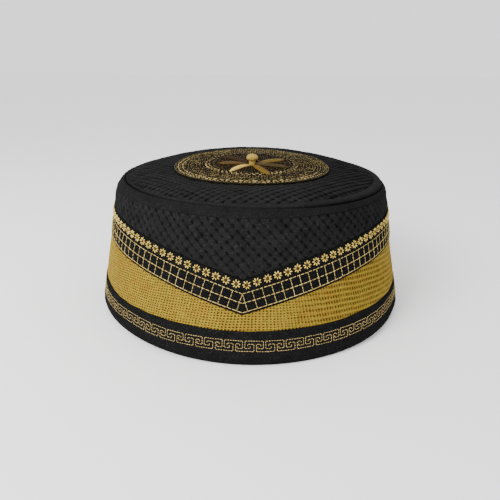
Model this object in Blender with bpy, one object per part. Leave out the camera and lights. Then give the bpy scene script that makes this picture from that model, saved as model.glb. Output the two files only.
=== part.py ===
"""A flat-topped prayer cap, sewn from cloth panels, with an embroidered disc and a knotted button on its crown.

The cap stands on its rim at z = 0, its axis is Z and its front faces -Y. A turn is an angle round that axis in
degrees, 0 at the front and growing towards +X. Lengths are in metres.
"""
import math
from collections import namedtuple

import bmesh
import bpy
from mathutils import Vector

MM = 0.001

# The whole cap
HEAD_GIRTH = 582 * MM           # inside the headband, for a size 58 head
SEAM_GAP = 0.3 * MM             # left between two pieces that are sewn together
WALL_TAPER = 0.196              # radius lost for each metre of height
WALL_CLOTH = 2.0 * MM           # padded wall, outside to inside
WALL_SEGMENTS = 96              # steps round the wall
CROWN_SEGMENTS = 72             # steps round the crown

# Headband
HEADBAND_HEIGHT = 18.3 * MM
HEADBAND_CLOTH = 2.9 * MM       # folded double
HEADBAND_PROUD = 0.5 * MM       # stands out from the wall above it
HEM_HEIGHT = 5.0 * MM           # height over which the fold at the rim rounds in
HEM_ROUND = 2.0 * MM            # how far it rounds in at the rim
HEM_STEPS = 4

# Chevron, measured on its lower edge
CHEVRON_TURN = -2.3             # the point of the V sits a little to one side of the front
CHEVRON_POINT = 26.4 * MM       # height of its two points, front and back
CHEVRON_PEAK = 45.0 * MM        # height at the two sides
CHEVRON_BEND = 2.5              # power by which the arms flatten towards the sides
CHEVRON_WIDTH = 17.1 * MM       # along the height
CHEVRON_PROUD = 0.3 * MM

# Shoulder band, between the wall and the crown
SHOULDER_FOOT = 72.5 * MM       # height of its seam with the wall
SHOULDER_PAD = 0.2 * MM         # how far it bulges between its two seams
SHOULDER_STEPS = 4

# Crown
CROWN_SEAM = 78.1 * MM          # radius of the seam round the crown
CROWN_OFFSET = 1.5 * MM         # the seam runs this far off centre, towards +X
CROWN_CLOTH = 2.0 * MM
CROWN_EDGE = 78.4 * MM          # radius where the top turns down to the shoulder
CROWN_EDGE_HEIGHT = 76.4 * MM
CROWN_FLAT_HEIGHT = 81.9 * MM   # at the foot of the medallion
CROWN_MIDDLE_HEIGHT = 82.2 * MM
CROWN_ROUND = 2.4 * MM          # fullness between the medallion and the edge
CROWN_LEAN = 0.068              # the top leans to the front by this slope
CROWN_SETTLED = 1.8 * MM        # most that the top has settled at its left and right
CROWN_RINGS = (5, 11, 20, 34, 48.2, 56, 64, 71, 75.5, 77.9)  # radii in millimetres

# Medallion
MEDALLION_RADIUS = 47.9 * MM
MEDALLION_CLOTH = 1.0 * MM
MEDALLION_RINGS = (5, 11, 20, 34, 47.9)  # radii in millimetres

# Button and petals
BUTTON_X = 0.3 * MM
BUTTON_Y = -4.0 * MM
BUTTON_WIDTH = 7.1 * MM
BUTTON_THICKNESS = 4.6 * MM
BUTTON_HEIGHT = 87.1 * MM       # of its middle
BUTTON_SEGMENTS = 20
BUTTON_STEPS = 8
NECK_RADIUS = 2.0 * MM
DIMPLE_DEPTH = 1.0 * MM         # where the button's thread pulls the crown in
DIMPLE_RADIUS = 7.0 * MM
PETAL_START = 2.4 * MM          # from the button's axis to the root of a petal
PETAL_SEAT = 0.4 * MM           # above the medallion

Petal = namedtuple("Petal", "turn reach half_width")
PETALS = (
    Petal(turn=-33.5, reach=23.0 * MM, half_width=1.9 * MM),
    Petal(turn=21.5, reach=27.2 * MM, half_width=2.4 * MM),
    Petal(turn=71.5, reach=23.2 * MM, half_width=2.2 * MM),
    Petal(turn=119.5, reach=23.0 * MM, half_width=2.8 * MM),
    Petal(turn=174.0, reach=22.0 * MM, half_width=2.3 * MM),
    Petal(turn=226.0, reach=24.5 * MM, half_width=2.3 * MM),
    Petal(turn=269.0, reach=20.2 * MM, half_width=2.2 * MM),
)
LeafSection = namedtuple("LeafSection", "along width rise")
LEAF = (
    LeafSection(along=0.00, width=0.30, rise=0.5 * MM),
    LeafSection(along=0.15, width=0.65, rise=0.9 * MM),
    LeafSection(along=0.35, width=0.92, rise=1.2 * MM),
    LeafSection(along=0.58, width=1.00, rise=1.3 * MM),
    LeafSection(along=0.78, width=0.90, rise=1.2 * MM),
    LeafSection(along=0.92, width=0.60, rise=0.8 * MM),
    LeafSection(along=1.00, width=0.20, rise=0.4 * MM),
)                               # width is a share of the petal's own half width
LeafRib = namedtuple("LeafRib", "across up")
LEAF_RIBS = (
    LeafRib(across=1.0, up=0.0),
    LeafRib(across=0.55, up=0.8),
    LeafRib(across=0.0, up=1.0),
    LeafRib(across=-0.55, up=0.8),
    LeafRib(across=-1.0, up=0.0),
)


def direction(turn):
    """The level direction that a turn points to."""
    angle = math.radians(turn)
    return Vector((math.sin(angle), -math.cos(angle), 0.0))


def turns(count):
    """The turns of a ring's points, with one of them on the chevron's front point."""
    return [CHEVRON_TURN + 360.0 * step / count for step in range(count)]


def level_circle(radius, height, count):
    """A level ring of points round the axis."""
    return [direction(turn) * radius + Vector((0.0, 0.0, height)) for turn in turns(count)]


def headband_radius(height):
    """Outer radius of the headband's cone."""
    at_hem = HEAD_GIRTH / (2 * math.pi) + HEADBAND_CLOTH
    return at_hem + WALL_TAPER * (HEM_HEIGHT - height)


def wall_radius(height):
    """Outer radius of the wall's cone."""
    return headband_radius(height) - HEADBAND_PROUD


def chevron_edge(turn):
    """Height of the chevron's lower edge."""
    away = (turn - CHEVRON_TURN + 180.0) % 360.0 - 180.0
    to_point = abs(90.0 - abs(away)) / 90.0
    return CHEVRON_PEAK - (CHEVRON_PEAK - CHEVRON_POINT) * to_point ** CHEVRON_BEND


def top_height(x, y):
    """Height of the cap's top over a point: the crown, its turned edge and the shoulder."""
    radius = math.hypot(x, y)
    if radius > CROWN_EDGE:
        slope = (CROWN_EDGE_HEIGHT - SHOULDER_FOOT) / (wall_radius(SHOULDER_FOOT) - CROWN_EDGE)
        return CROWN_EDGE_HEIGHT - slope * (radius - CROWN_EDGE)
    if radius > MEDALLION_RADIUS:
        share = (radius - MEDALLION_RADIUS) / (CROWN_EDGE - MEDALLION_RADIUS)
        height = CROWN_FLAT_HEIGHT + (CROWN_EDGE_HEIGHT - CROWN_FLAT_HEIGHT) * share
        height += CROWN_ROUND * 4 * share * (1 - share)
    else:
        share = radius / MEDALLION_RADIUS
        height = CROWN_MIDDLE_HEIGHT + (CROWN_FLAT_HEIGHT - CROWN_MIDDLE_HEIGHT) * share ** 2
    inward = 1 - (radius / CROWN_EDGE) ** 2
    height += CROWN_LEAN * y * inward - CROWN_SETTLED * 4 * (x / CROWN_EDGE) ** 2 * inward
    from_button = math.hypot(x - BUTTON_X, y - BUTTON_Y)
    return height - DIMPLE_DEPTH * math.exp(-(from_button / DIMPLE_RADIUS) ** 2)


def medallion_height(x, y):
    """Height of the medallion's upper face."""
    return top_height(x, y) + SEAM_GAP + MEDALLION_CLOTH


def seam_circle(radius, count):
    """A ring on the crown that is drawn off centre, more so the nearer it is to the crown's seam."""
    shift = Vector((CROWN_OFFSET * (radius / CROWN_SEAM) ** 4, 0.0, 0.0))
    return [direction(turn) * radius + shift for turn in turns(count)]


def on_surface(points, surface, lift):
    """The points at the height of a surface, lifted by a distance."""
    return [Vector((point.x, point.y, surface(point.x, point.y) + lift)) for point in points]


def skin(loops, ends):
    """Skins a row of point loops. The ends are "joined" into a ring, "capped", or two points to close on."""
    mesh_data = bmesh.new()
    rows = [[mesh_data.verts.new(point) for point in loop] for loop in loops]
    pairs = list(zip(rows, rows[1:]))
    if ends == "joined":
        pairs.append((rows[-1], rows[0]))
    for lower, upper in pairs:
        for step in range(len(lower)):
            after = (step + 1) % len(lower)
            mesh_data.faces.new((lower[step], lower[after], upper[after], upper[step]))
    if ends == "capped":
        mesh_data.faces.new(rows[0])
        mesh_data.faces.new(rows[-1])
    elif ends != "joined":
        for row, middle in zip((rows[0], rows[-1]), ends):
            tip = mesh_data.verts.new(middle)
            for step in range(len(row)):
                mesh_data.faces.new((row[step], row[(step + 1) % len(row)], tip))
    return mesh_data


def finish(name, mesh_data, material, sharp_angle):
    """Makes the named object from the skinned loops, with smooth shading and its material."""
    bmesh.ops.recalc_face_normals(mesh_data, faces=mesh_data.faces)
    mesh = bpy.data.meshes.new(name)
    mesh_data.to_mesh(mesh)
    mesh_data.free()
    mesh.shade_smooth()
    mesh.set_sharp_from_angle(angle=math.radians(sharp_angle))
    mesh.materials.append(material)
    piece = bpy.data.objects.new(name, mesh)
    bpy.context.scene.collection.objects.link(piece)


def make_material(name, colour, roughness):
    """A plain surface of the given colour."""
    material = bpy.data.materials.new(name)
    material.use_nodes = True
    shader = material.node_tree.nodes["Principled BSDF"]
    shader.inputs["Base Color"].default_value = (*colour, 1.0)
    shader.inputs["Roughness"].default_value = roughness
    shader.inputs["Metallic"].default_value = 0.0
    return material


def black_cloth(name):
    """Matt black cotton."""
    return make_material(name, (0.020, 0.020, 0.022), 0.9)


def quilted_cloth(name):
    """Black cloth with a slight sheen."""
    return make_material(name, (0.024, 0.024, 0.026), 0.85)


def gold_mesh_cloth(name):
    """Open-weave cloth in mustard gold."""
    return make_material(name, (0.58, 0.39, 0.09), 0.75)


def disc_embroidery(name):
    """Brown ground closely stitched in gold."""
    return make_material(name, (0.30, 0.20, 0.07), 0.7)


def gold_thread(name):
    """Pale gold embroidery thread."""
    return make_material(name, (0.62, 0.44, 0.16), 0.45)


def make_headband():
    """Folded cloth band, with a rounded hem that ends in a flat ring to stand on."""
    inner = HEAD_GIRTH / (2 * math.pi)
    outline = [(inner, 0.0)]
    for step in range(HEM_STEPS + 1):
        angle = math.radians(90.0 * step / HEM_STEPS)
        reach = headband_radius(HEM_HEIGHT) - HEM_ROUND * (1 - math.sin(angle))
        outline.append((reach, HEM_HEIGHT * (1 - math.cos(angle))))
    outline.append((headband_radius(HEADBAND_HEIGHT), HEADBAND_HEIGHT))
    outline.append((headband_radius(HEADBAND_HEIGHT) - HEADBAND_CLOTH, HEADBAND_HEIGHT))
    outline.append((inner, HEM_HEIGHT))
    loops = [level_circle(radius, height, WALL_SEGMENTS) for radius, height in outline]
    finish("headband", skin(loops, "joined"), black_cloth("headband"), 40)


def wall_panel(lower_edge, upper_edge, proud):
    """A panel of the wall's cone between two edges, each given as a function of the turn."""
    loops = []
    corners = ((lower_edge, proud), (upper_edge, proud), (upper_edge, -WALL_CLOTH), (lower_edge, -WALL_CLOTH))
    for edge, outward in corners:
        loop = []
        for turn in turns(WALL_SEGMENTS):
            height = edge(turn)
            loop.append(direction(turn) * (wall_radius(height) + outward) + Vector((0.0, 0.0, height)))
        loops.append(loop)
    return skin(loops, "joined")


def make_gold_panel():
    """Gold field, from the headband up to the chevron."""
    panel = wall_panel(lambda turn: HEADBAND_HEIGHT + SEAM_GAP,
                       lambda turn: chevron_edge(turn) - SEAM_GAP / 2, 0.0)
    finish("gold_panel", panel, gold_mesh_cloth("gold_panel"), 40)


def make_chevron_band():
    """Plain strip that carries the florets and squares, a V at the front and another at the back."""
    panel = wall_panel(lambda turn: chevron_edge(turn) + SEAM_GAP / 2,
                       lambda turn: chevron_edge(turn) + CHEVRON_WIDTH - SEAM_GAP / 2, CHEVRON_PROUD)
    finish("chevron_band", panel, black_cloth("chevron_band"), 40)


def make_quilted_wall():
    """Quilted field, from the chevron up to the shoulder."""
    panel = wall_panel(lambda turn: chevron_edge(turn) + CHEVRON_WIDTH + SEAM_GAP / 2,
                       lambda turn: SHOULDER_FOOT - SEAM_GAP / 2, 0.0)
    finish("quilted_wall", panel, quilted_cloth("quilted_wall"), 40)


def make_shoulder_band():
    """Padded band that turns from the wall to the crown, wider on -X, where the crown's seam lies further in."""
    foot_height = SHOULDER_FOOT + SEAM_GAP / 2
    foot = level_circle(wall_radius(foot_height), foot_height, WALL_SEGMENTS)
    seam = on_surface(seam_circle(CROWN_SEAM + SEAM_GAP / 2, WALL_SEGMENTS), top_height, 0.0)
    loops = [foot]
    for step in range(1, SHOULDER_STEPS):
        share = step / SHOULDER_STEPS
        between = [low.lerp(high, share) for low, high in zip(foot, seam)]
        loops.append(on_surface(between, top_height, SHOULDER_PAD * math.sin(math.pi * share)))
    loops.append(seam)
    loops.append([point - Vector((0.0, 0.0, CROWN_CLOTH)) for point in seam])
    loops.append(level_circle(wall_radius(foot_height) - WALL_CLOTH, foot_height, WALL_SEGMENTS))
    finish("shoulder_band", skin(loops, "joined"), black_cloth("shoulder_band"), 50)


def disc(rings, surface, cloth):
    """A sheet of even thickness under a surface, made of the given rings."""
    upper = [on_surface(ring, surface, 0.0) for ring in rings]
    lower = [on_surface(ring, surface, -cloth) for ring in reversed(rings)]
    middle = surface(0.0, 0.0)
    return skin(upper + lower, (Vector((0.0, 0.0, middle)), Vector((0.0, 0.0, middle - cloth))))


def make_crown_top():
    """Quilted crown, nearly flat, whose edge turns down to the shoulder."""
    rings = [seam_circle(radius * MM, CROWN_SEGMENTS) for radius in CROWN_RINGS]
    finish("crown_top", disc(rings, top_height, CROWN_CLOTH), quilted_cloth("crown_top"), 60)


def make_medallion():
    """Embroidered disc sewn on the middle of the crown."""
    rings = [level_circle(radius * MM, 0.0, CROWN_SEGMENTS) for radius in MEDALLION_RINGS]
    finish("medallion", disc(rings, medallion_height, MEDALLION_CLOTH), disc_embroidery("medallion"), 60)


def make_petal(name, petal):
    """A leaf of padded satin stitch that lies on the medallion, flat below and crowned above."""
    along = direction(petal.turn)
    across = Vector((-along.y, along.x, 0.0))
    axis = Vector((BUTTON_X, BUTTON_Y, 0.0))
    loops = []
    for section in LEAF:
        place = axis + along * (PETAL_START + (petal.reach - PETAL_START) * section.along)
        loop = []
        for rib in LEAF_RIBS:
            point = place + across * rib.across * section.width * petal.half_width
            seat = medallion_height(point.x, point.y) + PETAL_SEAT
            loop.append(point + Vector((0.0, 0.0, seat + rib.up * section.rise)))
        loops.append(loop)
    finish(name, skin(loops, "capped"), gold_thread(name), 60)


def make_knot_button():
    """A flattened ball knot on a short neck of thread."""
    axis = Vector((BUTTON_X, BUTTON_Y, 0.0))
    seat = medallion_height(BUTTON_X, BUTTON_Y) + PETAL_SEAT
    half = BUTTON_THICKNESS / 2
    start = math.asin(2 * NECK_RADIUS / BUTTON_WIDTH)
    outline = [(NECK_RADIUS, seat)]
    for step in range(BUTTON_STEPS):
        angle = start + (math.pi - start) * step / BUTTON_STEPS
        outline.append((BUTTON_WIDTH / 2 * math.sin(angle), BUTTON_HEIGHT - half * math.cos(angle)))
    loops = [[axis + point for point in level_circle(radius, height, BUTTON_SEGMENTS)]
             for radius, height in outline]
    ends = (axis + Vector((0.0, 0.0, seat)), axis + Vector((0.0, 0.0, BUTTON_HEIGHT + half)))
    finish("knot_button", skin(loops, ends), gold_thread("knot_button"), 60)


for item in list(bpy.data.objects):
    bpy.data.objects.remove(item, do_unlink=True)

make_headband()
make_gold_panel()
make_chevron_band()
make_quilted_wall()
make_shoulder_band()
make_crown_top()
make_medallion()
for number, row in enumerate(PETALS, start=1):
    make_petal(f"petal_{number}", row)
make_knot_button()
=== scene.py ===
"""The look of a flat-topped prayer cap: sewn and quilted cloth, gold embroidery and a knotted button.

The cap stands on its rim at z = 0, its axis is Z and its front faces -Y. A turn is an angle round that
axis in degrees, 0 at the front and growing towards +X. Lengths are in metres, and UV maps are in
millimetres of cloth.
"""
import math

import bpy
import numpy as np
from mathutils import Matrix, Vector, noise


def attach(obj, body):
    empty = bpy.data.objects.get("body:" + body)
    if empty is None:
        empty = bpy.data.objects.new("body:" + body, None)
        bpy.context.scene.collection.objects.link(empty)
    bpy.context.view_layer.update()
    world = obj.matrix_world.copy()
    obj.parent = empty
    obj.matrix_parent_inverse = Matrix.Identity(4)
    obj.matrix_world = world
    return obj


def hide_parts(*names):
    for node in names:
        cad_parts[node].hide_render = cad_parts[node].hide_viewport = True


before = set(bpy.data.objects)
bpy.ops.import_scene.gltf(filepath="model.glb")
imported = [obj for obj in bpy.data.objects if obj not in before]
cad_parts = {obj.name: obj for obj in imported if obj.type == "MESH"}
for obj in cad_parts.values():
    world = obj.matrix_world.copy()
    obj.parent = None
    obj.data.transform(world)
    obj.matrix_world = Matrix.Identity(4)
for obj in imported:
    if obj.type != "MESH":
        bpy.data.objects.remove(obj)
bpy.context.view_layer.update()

# Studio, none of it part of the cap: a camera at the photograph's viewing angle, a pale floor, and soft
# white light from all round with a little more from the upper left.
MM = 0.001
EYE = Vector((0.0, -284.724, 136.317)) * MM
EYE_YAW = -0.07
EYE_PITCH = 21.391
EYE_ROLL = 0.75
EYE_LENS = 32.89
FLOOR_SIZE = 40.0
LAMP_PLACE = (-0.40, -0.42, 0.48)
LAMP_SIZE = 0.32
LAMP_WATTS = 6.6
LAMP_AIM = (0.0, 0.0, 0.05)
SKY_STRENGTH = 1.5


def link(item):
    """Puts an object in the scene."""
    bpy.context.scene.collection.objects.link(item)
    return item


def add_node(tree, kind, feeds=(), **settings):
    """Adds a node. feeds gives its inputs by name or number, each a value or the socket it is linked to."""
    made = tree.nodes.new(kind)
    for setting, value in settings.items():
        setattr(made, setting, value)
    for key, value in dict(feeds).items():
        socket = made.inputs[key]
        if isinstance(value, bpy.types.NodeSocket):
            tree.links.new(value, socket)
        else:
            socket.default_value = value
    return made


def output(tree, kind, feeds=(), **settings):
    """Adds a node, as the socket of its first output."""
    return add_node(tree, kind, feeds, **settings).outputs[0]


def calc(tree, operation, *values):
    """A sum on numbers or sockets, as a socket."""
    return output(tree, "ShaderNodeMath", enumerate(values), operation=operation)


def mix(tree, share, first, second):
    """A colour between two others, each a colour or a socket."""
    made = add_node(tree, "ShaderNodeMix", {0: share, 6: first, 7: second}, data_type="RGBA")
    return made.outputs[2]


def new_finish(name):
    """A material with its tree and its shader."""
    material = bpy.data.materials.new(name)
    material.use_nodes = True
    return material, material.node_tree, material.node_tree.nodes["Principled BSDF"]


def make_camera():
    """The scene's camera."""
    camera = bpy.data.cameras.new("camera")
    camera.lens = EYE_LENS
    camera.clip_start = 0.01
    holder = link(bpy.data.objects.new("camera", camera))
    turned = Matrix.Rotation(math.radians(-EYE_YAW), 4, "Z")
    turned = turned @ Matrix.Rotation(math.radians(90.0 - EYE_PITCH), 4, "X")
    turned = turned @ Matrix.Rotation(math.radians(EYE_ROLL), 4, "Z")
    holder.matrix_world = Matrix.Translation(EYE) @ turned
    bpy.context.scene.camera = holder


def make_lamp():
    """A square soft lamp aimed at the cap."""
    lamp = bpy.data.lights.new("key", "AREA")
    lamp.size = LAMP_SIZE
    lamp.energy = LAMP_WATTS
    holder = link(bpy.data.objects.new("key", lamp))
    aim = Vector(LAMP_AIM) - Vector(LAMP_PLACE)
    turned = aim.to_track_quat("-Z", "Y").to_matrix().to_4x4()
    holder.matrix_world = Matrix.Translation(LAMP_PLACE) @ turned


def make_floor():
    """A plain pale floor, with a trace of grain."""
    half = FLOOR_SIZE / 2
    mesh = bpy.data.meshes.new("floor")
    corners = [(-half, -half, 0), (half, -half, 0), (half, half, 0), (-half, half, 0)]
    mesh.from_pydata(corners, [], [(0, 1, 2, 3)])
    material, tree, shader = new_finish("floor")
    place = add_node(tree, "ShaderNodeTexCoord").outputs["Object"]
    grain = add_node(tree, "ShaderNodeTexNoise", {"Vector": place, "Scale": 3.0}).outputs["Fac"]
    tone = mix(tree, grain, (0.95, 0.95, 0.95, 1), (0.97, 0.97, 0.97, 1))
    tree.links.new(tone, shader.inputs["Base Color"])
    shader.inputs["Roughness"].default_value = 1.0
    shader.inputs["Specular IOR Level"].default_value = 0.0
    mesh.materials.append(material)
    link(bpy.data.objects.new("floor", mesh))


make_camera()
make_floor()
make_lamp()
world = bpy.data.worlds.new("studio")
world.use_nodes = True
sky = world.node_tree.nodes["Background"].inputs
sky["Color"].default_value = (1.0, 1.0, 1.0, 1.0)
sky["Strength"].default_value = SKY_STRENGTH
bpy.context.scene.world = world

# Headband: a strip of plain black cotton folded double, its fold at the rim. It is cut to the wearer's
# head size and sewn to the foot of the gold field. Its fold lifts a little at the front left.
HEAD_GIRTH = 582 * MM
WALL_TAPER = 0.196              # radius lost for each metre of height
HEADBAND_HEIGHT = 18.3 * MM
HEADBAND_CLOTH = 2.9 * MM
HEADBAND_PROUD = 0.5 * MM       # stands out from the wall above it
HEM_HEIGHT = 5.0 * MM
HEM_ROUND = 2.0 * MM
RIM_LIFT = 1.3 * MM
RIM_LIFT_TURN = -46.0
RIM_LIFT_SPREAD = 26.0          # degrees
WEAVE_PITCH = 0.42              # millimetres from thread to thread
BAND_COLUMNS = 720
BAND_RADIUS = 95.0              # millimetres, where its sway is read from noise
UV_RADIUS = 88.0                # millimetres, where turns are measured for UV maps


def around(turn):
    """The level directions, out from the axis, that turns point to."""
    angle = np.radians(turn)
    return np.stack((np.sin(angle), -np.cos(angle), np.zeros_like(angle)), axis=-1)


def upright(height):
    """Vectors straight up, of the given lengths."""
    height = np.asarray(height, float)
    return np.stack((np.zeros_like(height), np.zeros_like(height), height), axis=-1)


def headband_radius(height):
    """Outer radius of the headband's cone."""
    return HEAD_GIRTH / (2 * math.pi) + HEADBAND_CLOTH + WALL_TAPER * (HEM_HEIGHT - height)


def off_wall(turn):
    """The direction square to the sloping wall at each turn."""
    return (around(turn) + upright(np.full(np.shape(turn), WALL_TAPER))) / math.hypot(1.0, WALL_TAPER)


def ease(value, low, high):
    """Rises smoothly from 0 at low to 1 at high."""
    share = np.clip((value - low) / (high - low), 0.0, 1.0)
    return share * share * (3.0 - 2.0 * share)


def bell(value, width):
    """Falls smoothly from 1 where the value is 0, to a third at the width and to 0 further off."""
    return np.exp(-((value / width) ** 2))


def columns_round(count, start=-180.0):
    """Turns of the columns of a piece, and a full turn after the first one."""
    return start + np.linspace(0, 360, count + 1)


def closed(grid):
    """A grid with its first column again at its end."""
    return np.concatenate((grid, grid[:, :1]), axis=1)


def spots_round(turn, height, radius):
    """Points on an upright cylinder, with its radius in millimetres, to read noise at."""
    return around(turn) * radius * MM + upright(height)


def mottle(points, size, seed):
    """Smooth noise, mostly between -0.5 and 0.5, with features of the given size."""
    shift = Vector((seed * 17.3, seed * 5.1, seed * 9.7))
    values = [noise.noise(Vector(point) / size + shift) for point in np.reshape(points, (-1, 3))]
    return np.reshape(values, np.shape(points)[:-1])


def skin(name, points, uv, joined, marks=()):
    """Skins a grid of points, in rows round the axis. Rows that meet in a point or an edge are merged there.

    points is (rows, columns, 3) and uv (rows, columns + 1, 2). joined closes the last row to the first,
    and marks are values stored at each point by name."""
    rows, columns = points.shape[:2]
    flat = points.reshape(-1, 3)
    grain = np.round(flat / (0.002 * MM)).astype(np.int64)
    first, index = np.unique(grain, axis=0, return_index=True, return_inverse=True)[1:]
    grid = index.reshape(rows, columns)
    low = np.arange(rows if joined else rows - 1)[:, None]
    high = (low + 1) % rows
    here = np.arange(columns)[None, :]
    after = (here + 1) % columns
    corners = np.stack((grid[low, here], grid[low, after], grid[high, after], grid[high, here]), axis=-1)
    spots = np.stack((uv[low, here], uv[low, here + 1], uv[high, here + 1], uv[high, here]), axis=-2)
    corners = corners.reshape(-1, 4)
    spots = spots.reshape(-1, 4, 2)
    keep = corners != np.roll(corners, 1, axis=1)
    whole = keep.sum(axis=1) >= 3
    keep = keep[whole]
    loops = corners[whole][keep]
    sides = keep.sum(axis=1)
    mesh = bpy.data.meshes.new(name)
    mesh.vertices.add(len(first))
    mesh.vertices.foreach_set("co", flat[first].astype(np.float32).ravel())
    mesh.loops.add(len(loops))
    mesh.loops.foreach_set("vertex_index", loops.astype(np.int32))
    mesh.polygons.add(len(sides))
    mesh.polygons.foreach_set("loop_start", np.concatenate(([0], np.cumsum(sides)[:-1])).astype(np.int32))
    layer = mesh.uv_layers.new(name="UVMap")
    layer.data.foreach_set("uv", spots[whole][keep].astype(np.float32).ravel())
    for mark, values in dict(marks).items():
        stored = mesh.attributes.new(mark, "FLOAT", "POINT")
        stored.data.foreach_set("value", values.ravel()[first].astype(np.float32))
    mesh.update(calc_edges=True)
    mesh.validate()
    mesh.shade_smooth()
    return link(bpy.data.objects.new(name, mesh))


def laid_out(turn):
    """Turns as millimetres round the cap."""
    return turn * (math.pi / 180.0 * UV_RADIUS)


def cloth_map(turn, along):
    """UVs in millimetres, round the cap and along a section. turn has a column more than the points."""
    return np.stack(np.broadcast_arrays(laid_out(turn)[None, :], along), axis=-1)


def ridges(tree, coordinate, pitch):
    """Rises and falls between 0 and 1 along a coordinate, once a pitch."""
    wave = calc(tree, "SINE", calc(tree, "MULTIPLY", coordinate, math.tau / pitch))
    return calc(tree, "MULTIPLY_ADD", wave, 0.5, 0.5)


def cloth_coordinates(tree):
    """The two coordinates of the piece's own UV map."""
    split = add_node(tree, "ShaderNodeSeparateXYZ", {0: add_node(tree, "ShaderNodeTexCoord").outputs["UV"]})
    return split.outputs["X"], split.outputs["Y"]


def speckle(tree, size, detail=2.0):
    """Noise between 0 and 1 on the piece, with features of the given size."""
    place = add_node(tree, "ShaderNodeTexCoord").outputs["Object"]
    feeds = {"Vector": place, "Scale": 1.0 / size, "Detail": detail, "Roughness": 0.6}
    return add_node(tree, "ShaderNodeTexNoise", feeds).outputs["Fac"]


def dress(tree, shader, colour, relief, strength, depth, roughness, gloss):
    """Gives a finish its colour and its fine relief, and sets how matt it is."""
    tree.links.new(colour, shader.inputs["Base Color"])
    feeds = {"Height": relief, "Strength": strength, "Distance": depth}
    tree.links.new(output(tree, "ShaderNodeBump", feeds), shader.inputs["Normal"])
    shader.inputs["Roughness"].default_value = roughness
    shader.inputs["Specular IOR Level"].default_value = gloss


def black_cotton(name, dark, worn_and_crest_light, roughness, lint=0.2):
    """Black cotton: a plain weave with a painted highlight where its crossings rise, thicker and thinner
    threads, and a trace of pale lint.
    """
    material, tree, shader = new_finish(name)
    across, along = cloth_coordinates(tree)
    over = calc(tree, "MULTIPLY", *(ridges(tree, way, 2 * WEAVE_PITCH) for way in (across, along)))
    fibre = speckle(tree, 0.35 * MM)
    patch = speckle(tree, 7 * MM)
    tone = calc(tree, "MULTIPLY_ADD", calc(tree, "ADD", fibre, patch), 0.8, -0.3)
    # Painted highlight: the tone goes towards the paler colour where the weave's crossings rise, as in the
    # relief below. The rest of the tone varies at random.
    tone = calc(tree, "MULTIPLY_ADD", over, 0.35, tone)
    colour = mix(tree, tone, (*dark, 1), (*worn_and_crest_light, 1))
    fluff = calc(tree, "MULTIPLY", calc(tree, "GREATER_THAN", speckle(tree, 0.6 * MM, 0.0), 0.69), lint)
    colour = mix(tree, fluff, colour, (0.06, 0.06, 0.056, 1))
    relief = calc(tree, "MULTIPLY_ADD", fibre, 0.7, over)
    dress(tree, shader, colour, relief, strength=0.45, depth=0.12 * MM, roughness=roughness, gloss=0.01)
    return material


def wear(piece, material, slot, *nodes):
    """Gives a finished piece its material and its body, and hides the nodes that it stands for. The slot is
    not used.
    """
    if not piece.data.materials:
        piece.data.materials.append(material)
    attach(piece, "root")
    if nodes:
        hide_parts(*nodes)


def headband_section():
    """Radius and height along the band's section: inside, rim, hem, outer face, top fold, inside."""
    inner = HEAD_GIRTH / (2 * math.pi)
    angle = np.radians(np.linspace(0, 90, 9))
    hem_radius = headband_radius(HEM_HEIGHT) - HEM_ROUND * (1 - np.sin(angle))
    hem = np.stack((hem_radius, HEM_HEIGHT * (1 - np.cos(angle))))
    fold = 0.6 * MM
    heights = np.linspace(HEM_HEIGHT, HEADBAND_HEIGHT - fold, 24)[1:]
    face = np.stack((headband_radius(heights), heights))
    angle = np.radians(np.linspace(0, 90, 5)[1:])
    top = headband_radius(HEADBAND_HEIGHT)
    over = np.stack((top - fold * (1 - np.cos(angle)), HEADBAND_HEIGHT - fold * (1 - np.sin(angle))))
    back = np.array(((top - HEADBAND_CLOTH, inner, inner), (HEADBAND_HEIGHT, HEM_HEIGHT, 0.0)))
    return np.concatenate((hem, face, over, back), axis=1)


def band_sway(turn, height):
    """How far the headband's face stands out of its cone, where the cloth isn't quite flat."""
    place = spots_round(turn, height, BAND_RADIUS)
    sway = mottle(place, 26 * MM, 1) * 0.8 * MM + mottle(place, 7 * MM, 2) * 0.25 * MM
    near_top = ease(height, 0.8 * HEADBAND_HEIGHT, HEADBAND_HEIGHT)
    return sway * ease(height, 0.5 * MM, 4 * MM) * (1 - 0.8 * near_top)


def make_headband():
    """The folded band, with its uneven rim and slight hollows."""
    radius, height = headband_section()
    edge = columns_round(BAND_COLUMNS)
    turn = edge[:-1]
    points = radius[:, None, None] * around(turn)[None] + upright(height)[:, None]
    turns, heights = np.broadcast_arrays(turn[None], height[:, None])
    outside = (radius > headband_radius(height) - 1.2 * MM)[:, None]
    points += (band_sway(turns, heights) * outside)[..., None] * off_wall(turn)[None]
    lift = RIM_LIFT * bell(turn - RIM_LIFT_TURN, RIM_LIFT_SPREAD)
    points[..., 2] += lift[None] * (1 - ease(height, 0.0, 9 * MM))[:, None]
    length = np.concatenate(([0], np.cumsum(np.hypot(np.diff(radius), np.diff(height))))) / MM
    return skin("headband_cloth", points, cloth_map(edge, length[:, None]), True)


band_cotton = black_cotton("band_cotton", (0.003, 0.003, 0.003), (0.0088, 0.0088, 0.0091), 0.9)
wear(make_headband(), band_cotton, "black_band_cloth", "headband")

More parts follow.
